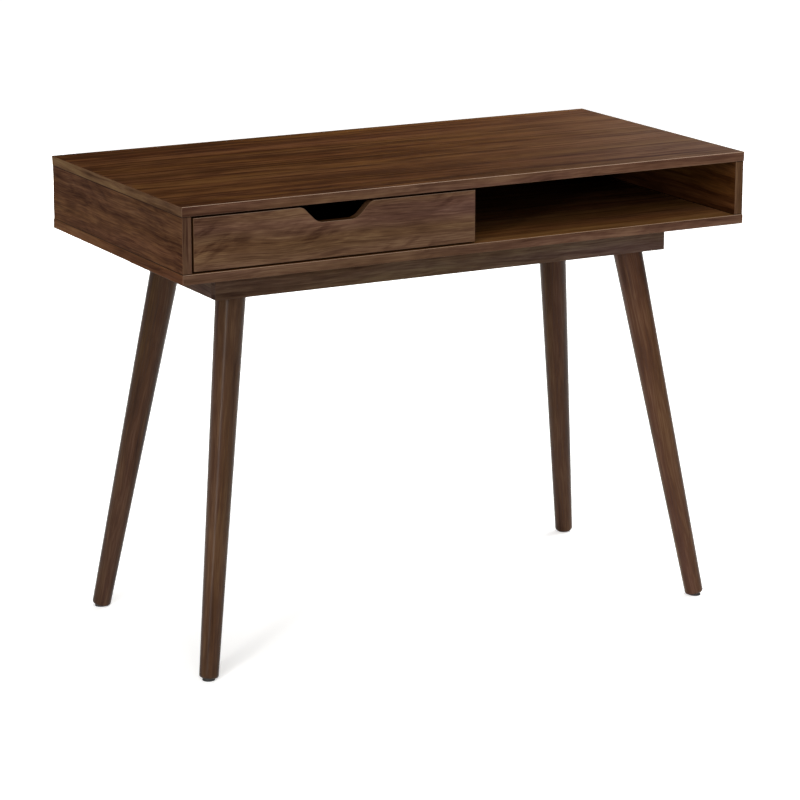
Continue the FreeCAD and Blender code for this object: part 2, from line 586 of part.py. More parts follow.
def drawer_nodes(nodes):
    """The drawer box with its bottom, dowels, cams and screws."""
    rear = RUNNER_REAR
    back_front = rear - DRAWER_BOARD_THICKNESS
    left_inner = DRAWER_LEFT + DRAWER_BOARD_THICKNESS
    right_inner = DRAWER_RIGHT - DRAWER_BOARD_THICKNESS
    groove = at(GROOVE_DEPTH, GROOVE_DEPTH, 0)
    bottom_low = at(left_inner, FRONT_BACK_FACE, DRAWER_BOTTOM_LEVEL) - groove
    bottom_high = at(right_inner, back_front, DRAWER_BOTTOM_LEVEL + DRAWER_BOTTOM_THICKNESS) + groove
    ease = at(SNUG_CLEARANCE, SNUG_CLEARANCE, SNUG_CLEARANCE)
    grooves = block(bottom_low - ease, bottom_high + ease)

    nodes["drawer_front"] = drawer_front_board().cut(grooves)
    side_length = (FRONT_BACK_FACE, rear)
    upright = (DRAWER_SIDE_BOTTOM, DRAWER_SIDE_TOP)
    nodes["drawer_left_side"] = board((DRAWER_LEFT, left_inner), side_length, upright).cut(grooves)
    nodes["drawer_right_side"] = board((right_inner, DRAWER_RIGHT), side_length, upright).cut(grooves)
    nodes["drawer_back"] = board((left_inner, right_inner), (back_front, rear), upright).cut(grooves)
    nodes["drawer_bottom"] = block(bottom_low, bottom_high)

    peg = dowel(DRAWER_DOWEL_DIAMETER, DRAWER_DOWEL_LENGTH)
    peg_hole = dowel_hole(DRAWER_DOWEL_DIAMETER, DRAWER_DOWEL_LENGTH)
    bolt = cam_bolt()
    bolt_radius = CAM_BOLT_HEAD / 2 + SNUG_CLEARANCE
    bolt_start = DOWN * (CAM_BOLT_FACE_DEPTH + SNUG_CLEARANCE)
    bolt_hole = rod(bolt_start, UP * (CAM_SETBACK + CAM_BOLT_HEAD), bolt_radius)
    screw_sizes = (DRAWER_BACK_SCREW_DIAMETER, DRAWER_BACK_SCREW_LENGTH, DRAWER_BACK_SCREW_HEAD)
    screw = countersunk_screw(*screw_sizes)
    screw_hole = countersunk_hole(*screw_sizes)
    pegs, bolts, cams, screws = [], [], [], []
    for name, outer, inward in (
        ("drawer_left_side", DRAWER_LEFT, RIGHT),
        ("drawer_right_side", DRAWER_RIGHT, -RIGHT),
    ):
        middle = outer + inward.x * DRAWER_BOARD_THICKNESS / 2
        peg_levels = [span(*upright, share) for share in DRAWER_DOWEL_SHARES]
        peg_points = [at(middle, FRONT_BACK_FACE - DRAWER_DOWEL_FACE_DEPTH, level) for level in peg_levels]
        peg_holes = [placed(peg_hole, point, BACK) for point in peg_points]
        cam_level = span(*upright, CAM_HEIGHT_SHARE)
        bolt_cut = placed(bolt_hole, at(middle, FRONT_BACK_FACE, cam_level), BACK)
        cam_point = at(outer, FRONT_BACK_FACE + CAM_SETBACK, cam_level)
        cam_cut = placed(straight_hole(CAM_DIAMETER, CAM_LENGTH), cam_point, inward)
        screw_levels = [span(*upright, share) for share in DRAWER_BACK_SCREW_SHARES]
        screw_points = [at(outer, rear - DRAWER_BOARD_THICKNESS / 2, level) for level in screw_levels]
        screw_cuts = [placed(screw_hole, point, inward) for point in screw_points]
        nodes["drawer_front"] = nodes["drawer_front"].cut(peg_holes + [bolt_cut])
        nodes[name] = nodes[name].cut(peg_holes + [bolt_cut, cam_cut] + screw_cuts)
        nodes["drawer_back"] = nodes["drawer_back"].cut(screw_cuts)
        pegs += [placed(peg, point, BACK) for point in peg_points]
        bolts.append(placed(bolt, at(middle, FRONT_BACK_FACE, cam_level), BACK))
        cams.append(placed(cam_nut(), cam_point, inward).cut(bolt_cut))
        screws += [placed(screw, point, inward) for point in screw_points]
    nodes["drawer_dowels"] = group(pegs)
    nodes["drawer_cam_bolts"] = group(bolts)
    nodes["drawer_cam_nuts"] = group(cams)
    nodes["drawer_back_screws"] = group(screws)


# Runners

def runner_strip(wall, inward, profile):
    """A bent steel strip along the runner, from a profile of (distance from the wall, level) corners."""
    corners = [at(wall + inward.x * reach, RUNNER_FRONT, level) for reach, level in profile + profile[:1]]
    return Part.Face(Part.makePolygon(corners)).extrude(BACK * RUNNER_LENGTH)


def roller():
    """A roller along +Z from the origin, bored to turn on its pin."""
    radius = ROLLER_DIAMETER / 2
    rims = [(radius, 0, ROLLER_EDGE_ROUND), (radius, ROLLER_WIDTH, ROLLER_EDGE_ROUND)]
    bore = rod(DOWN * CUT_OVERRUN, UP * (ROLLER_WIDTH + CUT_OVERRUN), PIN_DIAMETER / 2 + ROLLER_CLEARANCE)
    return turned([(0, 0, 0)] + rims + [(0, ROLLER_WIDTH, 0)]).cut(bore)


def roller_pin(collar):
    """A riveted pin along +Z from the far face of its runner sheet, with a collar and a head."""
    shank = PIN_DIAMETER / 2
    rim = PIN_COLLAR_DIAMETER / 2
    collar_end = RUNNER_SHEET + collar
    head_start = collar_end + SIDE_PLAY + ROLLER_WIDTH + SIDE_PLAY
    end = head_start + PIN_HEAD_THICKNESS
    corners = [(0, 0, 0), (shank, 0, 0), (shank, RUNNER_SHEET, 0), (rim, RUNNER_SHEET, 0)]
    corners += [(rim, collar_end, 0), (shank, collar_end, 0), (shank, head_start, 0)]
    return turned(corners + [(rim, head_start, 0), (rim, end, 0), (0, end, 0)])


def runner_nodes(nodes):
    """The two cabinet runners and two drawer runners with their rollers, pins and screws."""
    cabinet_profile = [
        (0, RUNNER_UNDERSIDE),
        (CHANNEL_WIDTH, RUNNER_UNDERSIDE),
        (CHANNEL_WIDTH, RUNNER_UNDERSIDE + RUNNER_LIP),
        (CHANNEL_WIDTH - RUNNER_SHEET, RUNNER_UNDERSIDE + RUNNER_LIP),
        (CHANNEL_WIDTH - RUNNER_SHEET, RUNNER_UNDERSIDE + RUNNER_SHEET),
        (RUNNER_SHEET, RUNNER_UNDERSIDE + RUNNER_SHEET),
        (RUNNER_SHEET, CHANNEL_TOP - RUNNER_SHEET),
        (CHANNEL_WIDTH, CHANNEL_TOP - RUNNER_SHEET),
        (CHANNEL_WIDTH, CHANNEL_TOP),
        (0, CHANNEL_TOP),
    ]
    drawer_profile = [
        (DRAWER_WEB_NEAR, RUNNER_UNDERSIDE),
        (RUNNER_SPACE + DRAWER_BOARD_THICKNESS, RUNNER_UNDERSIDE),
        (RUNNER_SPACE + DRAWER_BOARD_THICKNESS, DRAWER_SIDE_BOTTOM),
        (RUNNER_SPACE, DRAWER_SIDE_BOTTOM),
        (RUNNER_SPACE, DRAWER_FLANGE_TOP),
        (DRAWER_ROLLER_NEAR, DRAWER_FLANGE_TOP),
        (DRAWER_ROLLER_NEAR, DRAWER_FLANGE_TOP - RUNNER_SHEET),
        (DRAWER_WEB_NEAR, DRAWER_FLANGE_TOP - RUNNER_SHEET),
    ]
    screw_sizes = (RUNNER_SCREW_DIAMETER, RUNNER_SCREW_LENGTH)
    screw = headed_screw(*screw_sizes, RUNNER_SCREW_HEAD, RUNNER_SCREW_HEAD_HEIGHT)
    screw_hole = straight_hole(*screw_sizes)
    pin_hole = rod(DOWN * CUT_OVERRUN, UP * (RUNNER_SHEET + CUT_OVERRUN), PIN_DIAMETER / 2 + SNUG_CLEARANCE)
    screw_places = [span(RUNNER_FRONT, RUNNER_REAR, share) for share in RUNNER_SCREW_SHARES]
    cabinet_pins, drawer_pins, cabinet_screws, drawer_screws = [], [], [], []
    for hand, wall, inward, case_board in (
        ("left", -SIDE_INNER, RIGHT, "left_side_panel"),
        ("right", DIVIDER_LEFT, -RIGHT, "centre_divider"),
    ):
        cabinet_pivot = at(wall, RUNNER_FRONT + ROLLER_END_DISTANCE, ROLLER_LEVEL)
        drawer_pivot = at(wall, RUNNER_REAR - ROLLER_END_DISTANCE, ROLLER_LEVEL) + inward * RUNNER_SPACE
        cabinet_seats = [at(wall, y, ROLLER_LEVEL) + inward * RUNNER_SHEET for y in screw_places]
        drawer_level = ROLLER_LEVEL + DRAWER_RUNNER_SCREW_RISE
        drawer_seats = [at(wall, y, drawer_level) + inward * DRAWER_WEB_NEAR for y in screw_places]
        cabinet_holes = [placed(screw_hole, seat, -inward) for seat in cabinet_seats]
        drawer_holes = [placed(screw_hole, seat, inward) for seat in drawer_seats]

        cabinet_cuts = cabinet_holes + [placed(pin_hole, cabinet_pivot, inward)]
        drawer_cuts = drawer_holes + [placed(pin_hole, drawer_pivot, -inward)]
        nodes[hand + "_cabinet_runner"] = runner_strip(wall, inward, cabinet_profile).cut(cabinet_cuts)
        nodes[hand + "_drawer_runner"] = runner_strip(wall, inward, drawer_profile).cut(drawer_cuts)
        nodes[case_board] = nodes[case_board].cut(cabinet_holes)
        nodes["drawer_" + hand + "_side"] = nodes["drawer_" + hand + "_side"].cut(drawer_holes)
        cabinet_roller_start = cabinet_pivot + inward * CABINET_ROLLER_NEAR
        drawer_roller_start = drawer_pivot - inward * (RUNNER_SPACE - DRAWER_ROLLER_NEAR)
        nodes[hand + "_cabinet_roller"] = placed(roller(), cabinet_roller_start, inward)
        nodes[hand + "_drawer_roller"] = placed(roller(), drawer_roller_start, inward)
        cabinet_pins.append(placed(roller_pin(CABINET_PIN_COLLAR), cabinet_pivot, inward))
        drawer_pins.append(placed(roller_pin(DRAWER_PIN_COLLAR), drawer_pivot, -inward))
        cabinet_screws += [placed(screw, seat, -inward) for seat in cabinet_seats]
        drawer_screws += [placed(screw, seat, inward) for seat in drawer_seats]
    nodes["cabinet_roller_pins"] = group(cabinet_pins)
    nodes["drawer_roller_pins"] = group(drawer_pins)
    nodes["cabinet_runner_screws"] = group(cabinet_screws)
    nodes["drawer_runner_screws"] = group(drawer_screws)


def main():
    nodes = case_nodes()
    underframe_nodes(nodes)
    leg_nodes(nodes)
    drawer_nodes(nodes)
    runner_nodes(nodes)
    os.makedirs("parts", exist_ok=True)
    for name, shape in nodes.items():
        shape.exportStep(os.path.join("parts", name + ".step"))


main()
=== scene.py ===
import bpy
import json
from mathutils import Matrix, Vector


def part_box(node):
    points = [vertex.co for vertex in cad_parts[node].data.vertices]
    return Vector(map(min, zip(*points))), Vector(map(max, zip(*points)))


bl_info = {
    "name": "Walnut writing desk",
    "version": (1, 0, 0),
    "blender": (4, 5, 0),
    "location": "View3D > Sidebar > Desk",
    "description": "Gives a writing desk its wood, metal and plastic finishes in a plain studio",
    "category": "Object",
}

import json
import math

import bpy
from bpy.props import FloatProperty, FloatVectorProperty, PointerProperty
from mathutils import Vector

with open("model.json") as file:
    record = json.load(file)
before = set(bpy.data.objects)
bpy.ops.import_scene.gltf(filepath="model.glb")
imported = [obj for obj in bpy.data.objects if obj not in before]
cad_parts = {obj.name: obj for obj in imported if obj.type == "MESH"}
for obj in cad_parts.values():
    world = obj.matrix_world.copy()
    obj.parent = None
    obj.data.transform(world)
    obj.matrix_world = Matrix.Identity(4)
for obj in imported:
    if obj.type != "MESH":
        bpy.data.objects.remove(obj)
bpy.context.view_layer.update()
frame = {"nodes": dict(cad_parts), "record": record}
MM = 0.001
WHITE = (1.0, 1.0, 1.0, 1.0)
SIDES = ("front", "rear")
ENDS = ("left", "right")
CORNERS = [side + "_" + end for side in SIDES for end in ENDS]
RUNNER_MEMBERS = [end + "_" + member for end in ENDS for member in ("cabinet", "drawer")]

# Each seed, and each way that a face looks, takes its grain from another stretch of veneer, in metres.
SEED_STEP = (1.37, 0.83, 2.11)
FACE_STEP = (0.37, 0.37, 0.37)
CASE_SEED = 1.0
DRAWER_SEED = 10.0
RAIL_SEED = 20.0
LEG_SEED = 30.0

# How far the grain sways from a straight line, and the length and width of one sway.
BOARD_SWAY = 20 * MM
LEG_SWAY = 18 * MM
SWAY_LENGTH = 230 * MM
SWAY_WIDTH = 100 * MM

# Swirls lie at a slant to the grain, and knots gather them. Their sizes are shares of a cloudy patch's.
SWIRL_SLANT = math.radians(24.0)
SWIRL_LENGTH_SHARE = 0.5
SWIRL_WIDTH_SHARE = 0.3
KNOT_LENGTH_SHARE = 1.3
KNOT_WIDTH_SHARE = 1.6

# Growth lines: how far their wave turns, in radians, from the darkest to the lightest broad streak.
GROWTH_TURN = 60.0

# How much the finer parts of every layer's noise count.
GRAIN_ROUGHNESS = 0.55

# The tint runs from yellow to purple brown: the least share of red, green and blue, and how much it gains.
TINT_LEAST = (1.0, 0.85, 0.5)
TINT_GAIN = (0.0, 0.3, 1.0)

# The ramp from dark to light grain: its places, and the shares of the middle colour at its two ends.
MIDDLE_TONE = 0.53
DARK_PLACE, MIDDLE_PLACE, LIGHT_PLACE = (0.05, 0.5, 0.95)
DARK_SHARES = (0.46, 0.4, 0.4)
LIGHT_SHARES = (1.72, 1.95, 1.9)

# How strongly each layer of grain shows: crown-cut veneer is streaky, plain veneer even, and so on. A
# painted sheen makes the wood paler along the grain, by so much tone for each metre, and the sheen's veil
# takes so much of its contrast away. Both are matched to the photograph.
# The centred layers are noise round 0.5, and the others are 0 on average or below.
GRAIN_LAYERS = ("mottle", "cloud", "figure", "growth", "streak", "dark", "fibre")
CENTRED_LAYERS = ("mottle", "figure", "streak", "fibre")
CROWN = {
    "mottle": 0.7,
    "cloud": 0.0,
    "figure": 1.5,
    "growth": 0.06,
    "streak": 1.45,
    "dark": 0.36,
    "fibre": 1.1,
    # A painted sheen: paler and with less contrast towards the right end of the top.
    "painted_sheen": 0.25,
    "sheen_calm": 0.75,
}
PLAIN = {
    "mottle": 0.5,
    "cloud": 0.1,
    "figure": 0.6,
    "growth": 0.03,
    "streak": 0.9,
    "dark": 0.2,
    "fibre": 0.9,
}
CLOUDY = {
    "mottle": 0.75,
    "cloud": 0.5,
    "figure": 0.5,
    "growth": 0.03,
    "streak": 0.5,
    "dark": 0.05,
    "fibre": 1.25,
}
CURLED = {
    "mottle": 0.95,
    "cloud": 0.3,
    "figure": 0.6,
    "growth": 0.06,
    "streak": 0.8,
    "dark": 0.08,
    "fibre": 1.6,
}
BURRED = {
    "mottle": 1.1,
    "cloud": 0.15,
    "figure": 0.9,
    "growth": 0.04,
    "streak": 0.9,
    "dark": 0.15,
    "fibre": 0.8,
}
# The top's edge bands carry a painted sheen too, paler along each edge.
BANDED = {**BURRED, "painted_sheen": 0.45, "sheen_calm": 0.0}
STAINED = {
    "mottle": 0.8,
    "cloud": 0.0,
    "figure": 0.8,
    "growth": 0.03,
    "streak": 0.8,
    "dark": 0.14,
    "fibre": 0.9,
}

# Each leg has its own painted light and shade, matched to the photograph: the rear legs are darker, as in
# shade, and the front right leg is paler, as where light falls on it. Shares of the red, green and blue.
LEG_PAINTED_LIGHT = {
    "front_left": (1.0, 1.12, 1.25),
    "front_right": (1.13, 1.16, 1.28),
    "rear_left": (0.79, 0.825, 0.82),
    "rear_right": (0.82, 0.87, 0.83),
}

# Lacquers: roughness on the dark and the light grain, strength of the highlight, and relief of the fibres.
# The highlights are weaker than bare lacquer's, because stronger ones lie over the dark stain as a veil.
MATT_LACQUER = {"dark": 0.6, "light": 0.48, "highlight": 0.012, "relief": 0.25, "depth": 0.15 * MM}
SATIN_LACQUER = {"dark": 0.32, "light": 0.22, "highlight": 0.08, "relief": 0.2, "depth": 0.12 * MM}

# A surface counts as looking along an axis from this share of its normal up.
FACING_SHARE = 0.75

# Rubbing of the boards and the painted highlight on their arrises, by parts of the normal: where it starts,
# where it is full, and its least share.
ARRIS_RUB = (0.985, 0.85, 0.0)
LENGTHWISE_RUB = (0.2, 0.05, 0.2)
FRONT_RUB = (0.1, -0.3, 0.1)
UPPER_RUB = (-0.4, -0.1, 0.1)

# The rails are out of reach, so they get hardly any rubbing and hardly any painted highlight.
RAIL_WEAR_AND_HIGHLIGHT = 0.1

# The shade of a joint starts and is full this far from the end of the board. It is drawn wider than the
# 0.6 mm arrises that make it, because a joint as fine as that doesn't show.
JOINT_START = 1.5 * MM
JOINT_FULL = 1.1 * MM
JOINT_SHARE = 0.85

# Speckled finishes: size of the broad clouds, spread of the roughness, depth of the grit, and ramp places.
CLOUD_SIZE = 25 * MM
GLOSS_SPREAD = 0.08
GRIT_DEPTH = 0.1 * MM
DULL_PLACE, BRIGHT_PLACE = (0.1, 0.4)

# The floor glows towards white for what sees it, less near the desk, so that its shadow stays. Distances
# are in metres from the middle of the floor.
FLOOR_RADIUS = 16.0
FLOOR_CORNERS = 96
FLOOR_ROUGHNESS = 0.9
LIFT_NEAR, LIFT_FAR = (0.6, 4.0)
NEAR_STRENGTH, FAR_STRENGTH = (0.46, 0.64)

# Lamps: kind, place, width and height of the light in metres. The sun has an angle for its width.
LAMP_AIM = Vector((0.0, 0.0, 0.6))
LAMPS = {
    "key": ("SUN", (-2.0, -3.1, 4.0), math.radians(50.0), 0.0),
    "over": ("AREA", (1.9, 0.3, 2.7), 1.8, 1.8),
    "front": ("AREA", (1.8, -4.0, 1.3), 1.6, 1.6),
    "strip": ("AREA", (-3.5, -2.8, 1.3), 0.35, 2.2),
    "rim": ("AREA", (3.2, 3.0, 1.7), 1.6, 1.6),
    "back": ("AREA", (0.6, 4.3, 0.8), 1.6, 1.4),
}
SENSOR_WIDTH = 36.0
CLIP_END = 100.0


def linear(colour):
    """The linear RGB of an sRGB hex colour such as "#4d301a"."""
    channels = [int(colour[start : start + 2], 16) / 255 for start in (1, 3, 5)]
    return tuple(c / 12.92 if c <= 0.04045 else ((c + 0.055) / 1.055) ** 2.4 for c in channels)


def colour_prop(name, description, colour):
    return FloatVectorProperty(
        name=name,
        description=description,
        subtype="COLOR",
        size=3,
        min=0.0,
        max=1.0,
        default=linear(colour),
    )


def length_prop(name, description, millimetres):
    return FloatProperty(
        name=name,
        description=description,
        subtype="DISTANCE",
        unit="LENGTH",
        min=0.0,
        default=millimetres * MM,
    )


def power_prop(name, description, watts):
    return FloatProperty(name=name, description=description, unit="POWER", min=0.0, default=watts)


class DeskWalnut(bpy.types.PropertyGroup):
    """Tones and grain sizes of the walnut boards and legs."""

    top: colour_prop("Top", "Middle tone of the top board", "#492b14")
    front: colour_prop("Front", "Middle tone of the drawer front", "#583f2f")
    # Painted light: the bottom board is paler than the other boards, so that the cubby floor looks lit in
    # its shade.
    inside: colour_prop("Inside", "Middle tone of the bottom board, the floor of the cubby", "#6c4728")
    side: colour_prop("Side", "Middle tone of the left side, the back and the divider", "#4d2f1b")
    edge: colour_prop("Edge band", "Middle tone of the edges along the front and back", "#553c2e")
    upper: colour_prop("Upper edge band", "Middle tone of the top board's long edges", "#5a4031")
    band: colour_prop("End band", "Middle tone of the top board's edges at the ends", "#5c402b")
    lower: colour_prop("Lower end band", "Middle tone of the bottom board's end edges", "#593822")
    # Painted shade: the drawer front's edges are dark so that the gap round the drawer looks shaded.
    gap_shade: colour_prop("Drawer edges", "Middle tone of the drawer front's dark edges", "#3c2410")
    rail: colour_prop("Rails", "Middle tone of the underframe rails", "#534035")
    leg: colour_prop("Legs", "Middle tone of the legs", "#482f20")
    joint: colour_prop("Joint line", "Colour of the thin shade where two boards meet", "#120a06")
    # Pale arris colour: partly rubbing, partly a painted highlight where light would glint on the arris.
    worn_highlight: colour_prop("Worn arris", "Colour where the edges of the boards are rubbed", "#cbae96")
    mottle_length: length_prop("Mottle length", "Length of a cloudy patch along the grain", 110.0)
    mottle_width: length_prop("Mottle width", "Width of a cloudy patch across the grain", 42.0)
    figure_length: length_prop("Figure length", "Length of a broad streak along the grain", 700.0)
    figure_width: length_prop("Figure width", "Width of a broad streak across the grain", 26.0)
    streak_length: length_prop("Streak length", "Length of a narrow streak along the grain", 300.0)
    streak_width: length_prop("Streak width", "Width of a narrow streak across the grain", 8.0)
    # Walnut's pores are about 0.2 mm wide, too fine to show, so the fibres are drawn ten times as wide.
    fibre_length: length_prop("Fibre length", "Length of the drawn fibres", 48.0)
    fibre_width: length_prop("Fibre width", "Width of the drawn fibres", 2.0)


class DeskHardware(bpy.types.PropertyGroup):
    """Colours of the pieces that are not walnut."""

    beech: colour_prop("Beech", "Colour of the dowels and glue blocks", "#c9a678")
    hardboard: colour_prop("Hardboard", "Colour of the drawer bottom", "#6b4e36")
    zinc: colour_prop("Zinc plate", "Colour of the screws, bolts and plates", "#c2c3c1")
    epoxy: colour_prop("Epoxy coat", "Colour of the runners", "#3a2d26")
    nylon: colour_prop("Nylon", "Colour of the rollers", "#dedace")
    pad: colour_prop("Foot pad", "Colour of the pads under the legs", "#1d1a18")


class DeskStage(bpy.types.PropertyGroup):
    """Floor, lights and camera."""

    floor: colour_prop("Floor", "Colour of the floor", "#f4f4f2")
    sky: FloatProperty(
        name="Soft light", description="Strength of the even light all round", default=0.05, min=0.0
    )
    key: FloatProperty(
        name="Key light", description="Strength of the soft key light", default=1.8, min=0.0
    )
    over: power_prop("Top light", "Power of the overhead lamp", 78.0)
    front: power_prop("Fill light", "Power of the front lamp", 14.0)
    strip: power_prop("Strip light", "Power of the tall lamp", 58.0)
    rim: power_prop("Rim light", "Power of the lamp behind on the right", 19.0)
    back: power_prop("Back light", "Power of the low lamp behind", 90.0)
    lens: FloatProperty(
        name="Lens", description="Focal length of the camera", default=141.8, unit="CAMERA", min=1.0
    )
    eye: FloatVectorProperty(
        name="Eye",
        description="Place of the camera",
        subtype="TRANSLATION",
        default=(-2.3929, -4.4150, 1.6360),
    )
    heading: FloatProperty(
        name="Heading",
        description="Turn of the camera from +Y towards +X",
        subtype="ANGLE",
        default=0.4969,
    )
    tilt: FloatProperty(
        name="Tilt", description="How far the camera looks down", subtype="ANGLE", default=0.2517
    )


def add(tree, kind, inputs=(), stops=(), **settings):
    """Adds a shader node, sets its options and ramp stops, and fills or links its inputs."""
    made = tree.nodes.new("ShaderNode" + kind)
    for option, value in settings.items():
        setattr(made, option, value)
    for key, value in dict(inputs).items():
        if isinstance(value, bpy.types.NodeSocket):
            tree.links.new(value, made.inputs[key])
        else:
            made.inputs[key].default_value = value
    for index, (place, colour) in enumerate(stops):
        elements = made.color_ramp.elements
        stop = elements[index] if index < len(elements) else elements.new(place)
        stop.position = place
        stop.color = (*colour, 1.0)
    return made


def new_material(name):
    """An empty node material and its tree."""
    material = bpy.data.materials.new(name)
    material.use_nodes = True
    material.node_tree.nodes.clear()
    return material, material.node_tree


def shaded(colour, shares):
    """A colour with each channel times its share."""
    return tuple(channel * share for channel, share in zip(colour, shares))


def stretched(tree, place, along, across):
    """Texture space in which one unit is a grain length along the wood and a grain width across it."""
    scale = (1 / along, 1 / across, 1 / across)
    return add(tree, "VectorMath", {0: place, 1: scale}, operation="MULTIPLY").outputs[0]


def swaying(tree, place, seed, sway):
    """The place in the veneer, moved by the seed and swayed off the straight line of the grain."""
    move = tuple(seed * step for step in SEED_STEP)
    shifted = add(tree, "VectorMath", {0: place, 1: move}, operation="ADD").outputs[0]
    broad = stretched(tree, shifted, SWAY_LENGTH, SWAY_WIDTH)
    wander = add(tree, "TexNoise", {"Vector": broad, "Scale": 1.0, "Detail": 2.0}).outputs["Color"]
    centred = add(tree, "VectorMath", {0: wander, 1: (0.5, 0.5, 0.5)}, operation="SUBTRACT")
    return add(
        tree,
        "VectorMath",
        {0: centred.outputs[0], 1: (0.0, sway, sway), 2: shifted},
        operation="MULTIPLY_ADD",
    ).outputs[0]


def walnut_grain(tree, place, wood, seed, sway):
    """The layers of dark walnut grain: cloudy patches, slanting swirls inside some of them, broad wavy
    streaks with growth lines that follow them, narrow streaks, the darkest of those, and fine fibres. The
    place along the board is kept for a painted sheen, and the tint drifts from yellow to purple brown."""
    straight = swaying(tree, place, seed, sway)
    slanting = add(
        tree, "VectorRotate", {"Vector": straight, "Axis": (0.0, 1.0, 0.0), "Angle": SWIRL_SLANT}
    ).outputs[0]
    swirl_length = wood.mottle_length * SWIRL_LENGTH_SHARE
    swirl_width = wood.mottle_width * SWIRL_WIDTH_SHARE
    knot_length = wood.mottle_length * KNOT_LENGTH_SHARE
    knot_width = wood.mottle_width * KNOT_WIDTH_SHARE
    layers = {"along": add(tree, "SeparateXYZ", {0: place}).outputs["X"]}
    # Layer, its space, its length and width, and how many finer octaves its noise has.
    for layer, space, along, across, detail in (
        ("mottle", straight, wood.mottle_length, wood.mottle_width, 3.0),
        ("swirl", slanting, swirl_length, swirl_width, 4.0),
        ("knot", straight, knot_length, knot_width, 1.0),
        ("figure", straight, wood.figure_length, wood.figure_width, 3.0),
        ("streak", straight, wood.streak_length, wood.streak_width, 4.0),
        ("fibre", straight, wood.fibre_length, wood.fibre_width, 2.0),
    ):
        layers[layer] = add(
            tree,
            "TexNoise",
            {
                "Vector": stretched(tree, space, along, across),
                "Scale": 1.0,
                "Detail": detail,
                "Roughness": GRAIN_ROUGHNESS,
            },
        ).outputs["Fac"]
    phase = add(tree, "Math", {0: layers["figure"], 1: GROWTH_TURN}, operation="MULTIPLY").outputs[0]
    layers["growth"] = add(tree, "Math", {0: phase}, operation="SINE").outputs[0]
    # Layer, the noise it is cut from, the range of that noise, and the range that it becomes.
    for layer, of, least, most, low, high in (
        ("slash", "swirl", 0.3, 0.56, -1.0, 0.0),
        ("round", "knot", 0.46, 0.62, 0.12, 1.0),
        ("dark", "streak", 0.34, 0.47, -1.0, 0.0),
    ):
        layers[layer] = add(
            tree,
            "MapRange",
            {"Value": layers[of], "From Min": least, "From Max": most, "To Min": low, "To Max": high},
            interpolation_type="SMOOTHSTEP",
        ).outputs[0]
    layers["cloud"] = add(
        tree, "Math", {0: layers["slash"], 1: layers["round"]}, operation="MULTIPLY"
    ).outputs[0]
    patches = stretched(tree, straight, wood.figure_length, wood.mottle_width)
    drift = add(tree, "TexNoise", {"Vector": patches, "Scale": 1.0, "Detail": 2.0}).outputs["Color"]
    layers["tint"] = add(
        tree, "VectorMath", {0: drift, 1: TINT_GAIN, 2: TINT_LEAST}, operation="MULTIPLY_ADD"
    ).outputs[0]
    return layers


def blended(tree, layers, cut):
    """One 0 to 1 tone out of the layers of grain, near 0.5 on average. A cut with a painted sheen grows
    paler and calmer along the board."""
    grain = -0.5 * sum(cut[layer] for layer in CENTRED_LAYERS)
    for layer in GRAIN_LAYERS:
        grain = add(
            tree, "Math", {0: layers[layer], 1: cut[layer], 2: grain}, operation="MULTIPLY_ADD"
        ).outputs[0]
    sheen_calm = 1.0
    middle = MIDDLE_TONE
    # The painted sheen: the tone grows paler and calmer along the board.
    if "painted_sheen" in cut:
        along = layers["along"]
        sheen_calm = add(tree, "Math", {0: along, 1: -cut["sheen_calm"], 2: 1.0}, operation="MULTIPLY_ADD").outputs[0]
        middle = add(
            tree, "Math", {0: along, 1: cut["painted_sheen"], 2: MIDDLE_TONE}, operation="MULTIPLY_ADD"
        ).outputs[0]
    tone = add(tree, "Math", {0: grain, 1: sheen_calm, 2: middle}, operation="MULTIPLY_ADD").outputs[0]
    return add(tree, "Clamp", {"Value": tone}).outputs[0]


def stained(tree, tone, tint, colour):
    """Walnut colours from the red-brown dark grain to the paler, yellower light, round a middle tone."""
    stops = (
        (DARK_PLACE, shaded(colour, DARK_SHARES)),
        (MIDDLE_PLACE, tuple(colour)),
        (LIGHT_PLACE, shaded(colour, LIGHT_SHARES)),
    )
    ramp = add(tree, "ValToRGB", {"Fac": tone}, stops=stops)
    return add(tree, "VectorMath", {0: ramp.outputs[0], 1: tint}, operation="MULTIPLY").outputs[0]


def lacquer_over(tree, colour, tone, fibre, lacquer):
    """Lacquer on stained wood, smoother over the light grain, with the fibres telling through it."""
    gloss = add(
        tree, "MapRange", {"Value": tone, "To Min": lacquer["dark"], "To Max": lacquer["light"]}
    )
    relief = add(
        tree,
        "Bump",
        {"Strength": lacquer["relief"], "Distance": lacquer["depth"], "Height": fibre},
    )
    shader = add(
        tree,
        "BsdfPrincipled",
        {
            "Base Color": colour,
            "Roughness": gloss.outputs[0],
            "Normal": relief.outputs[0],
            "Specular IOR Level": lacquer["highlight"],
        },
    )
    add(tree, "OutputMaterial", {"Surface": shader.outputs[0]})


def rubbed_and_highlighted(tree, normal, facing, grain, wear_and_highlight):
    """How pale the arrises grow, from the rub of hands and sleeves and from a painted highlight: on arrises
    that run with the grain, face the front and don't look down, where hands and sleeves reach and where
    light would glint."""
    signed = add(tree, "SeparateXYZ", {0: normal}).outputs
    larger = add(tree, "Math", {0: facing["X"], 1: facing["Y"]}, operation="MAXIMUM").outputs[0]
    largest = add(tree, "Math", {0: larger, 1: facing["Z"]}, operation="MAXIMUM").outputs[0]
    share = wear_and_highlight
    for value, (start, full, least) in (
        (largest, ARRIS_RUB),
        (facing[grain], LENGTHWISE_RUB),
        (signed["Y"], FRONT_RUB),
        (signed["Z"], UPPER_RUB),
    ):
        limits = {"From Min": start, "From Max": full, "To Min": least}
        part = add(tree, "MapRange", {"Value": value, **limits})
        share = add(tree, "Math", {0: part.outputs[0], 1: share}, operation="MULTIPLY").outputs[0]
    return share


